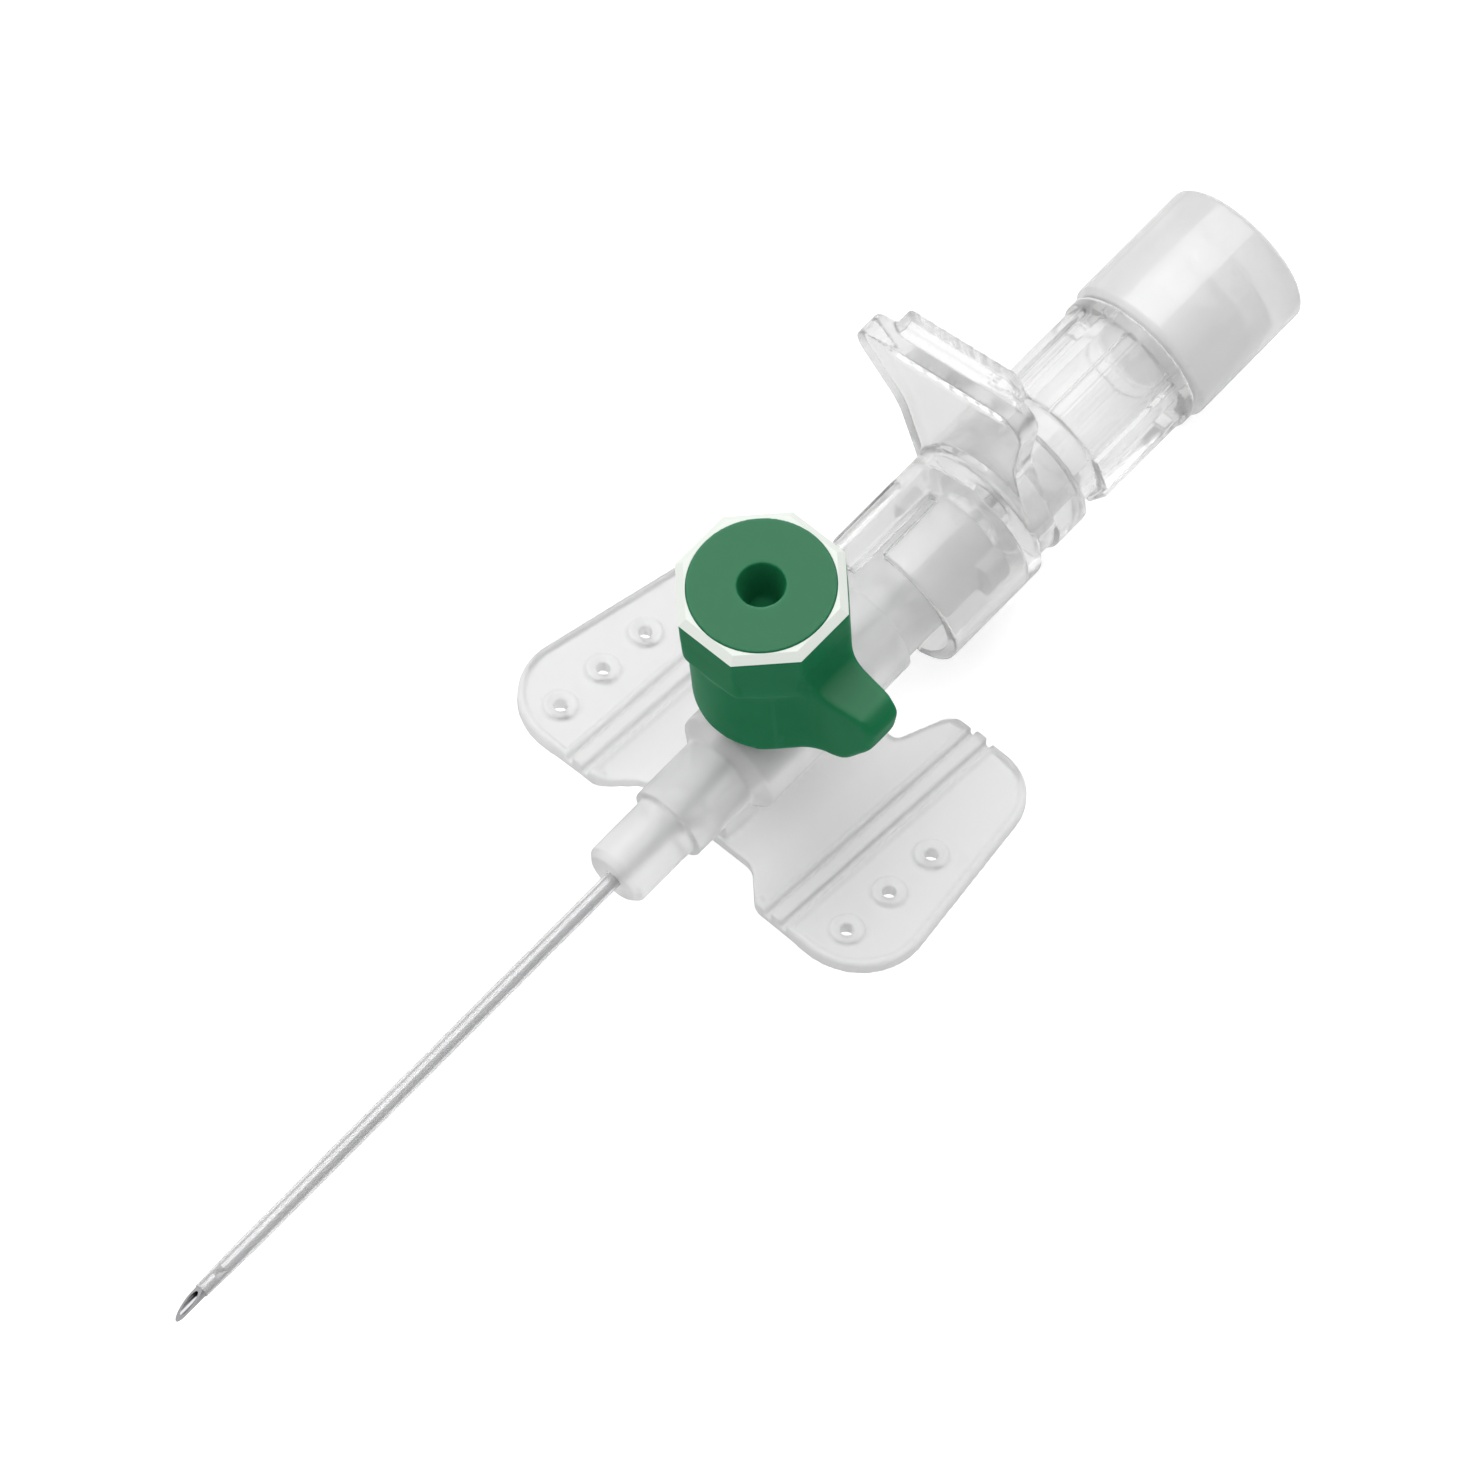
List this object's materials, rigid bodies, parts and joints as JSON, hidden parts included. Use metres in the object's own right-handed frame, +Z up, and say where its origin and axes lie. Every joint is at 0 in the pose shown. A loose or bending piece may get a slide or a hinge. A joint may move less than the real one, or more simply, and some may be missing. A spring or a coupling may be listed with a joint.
{
  "type": "intravenous cannula",
  "caption": "Winged intravenous cannula with a capped injection port, a needle set with finger plate, a vented flash plug and a tail cap.",
  "frame": {"origin": "middle of the bounding box, at the height of the surface that the part lies on", "axes": "+X along the needle towards the tail, +Y towards the wing away from the cap's thumb tab, +Z up along the injection port"},
  "size_m": [0.0988, 0.032, 0.0242],
  "materials": {
    "soft_tube": "smooth translucent fluoropolymer",
    "milky_plastic": "satin translucent polypropylene",
    "clear_plastic": "clear moulded plastic",
    "green_plastic": "satin moulded plastic",
    "pale_plastic": "satin moulded plastic",
    "steel": "polished stainless tube",
    "silicone": "translucent silicone",
    "filter": "porous sintered disc"
  },
  "bodies": {
    "catheter": {"catheter_tube": "soft_tube", "tube_eyelet": "steel", "catheter_hub": "milky_plastic", "valve_sleeve": "silicone", "cap_ring": "green_plastic"},
    "cap": {"port_cap": "green_plastic", "cap_rim": "pale_plastic"},
    "needle_set": {"needle": "steel", "needle_hub": "clear_plastic"},
    "plug": {"flash_plug": "clear_plastic", "vent_filter": "filter"},
    "tail": {"tail_cap": "milky_plastic"}
  },
  "joints": [
    {"name": "port_cap_flip", "type": "hinge", "parent": "catheter", "child": "cap", "pos_m": [0.00555, 0.0055, 0.01153], "axis": [-1, 0, 0], "range_deg": [0, 115]},
    {"name": "needle_withdraw", "type": "slide", "parent": "catheter", "child": "needle_set", "axis": [1, 0, 0], "range_m": [0, 0.08]},
    {"name": "flash_plug_pull", "type": "slide", "parent": "needle_set", "child": "plug", "axis": [1, 0, 0], "range_m": [0, 0.009]},
    {"name": "tail_cap_pull", "type": "slide", "parent": "plug", "child": "tail", "axis": [1, 0, 0], "range_m": [0, 0.009]}
  ]
}
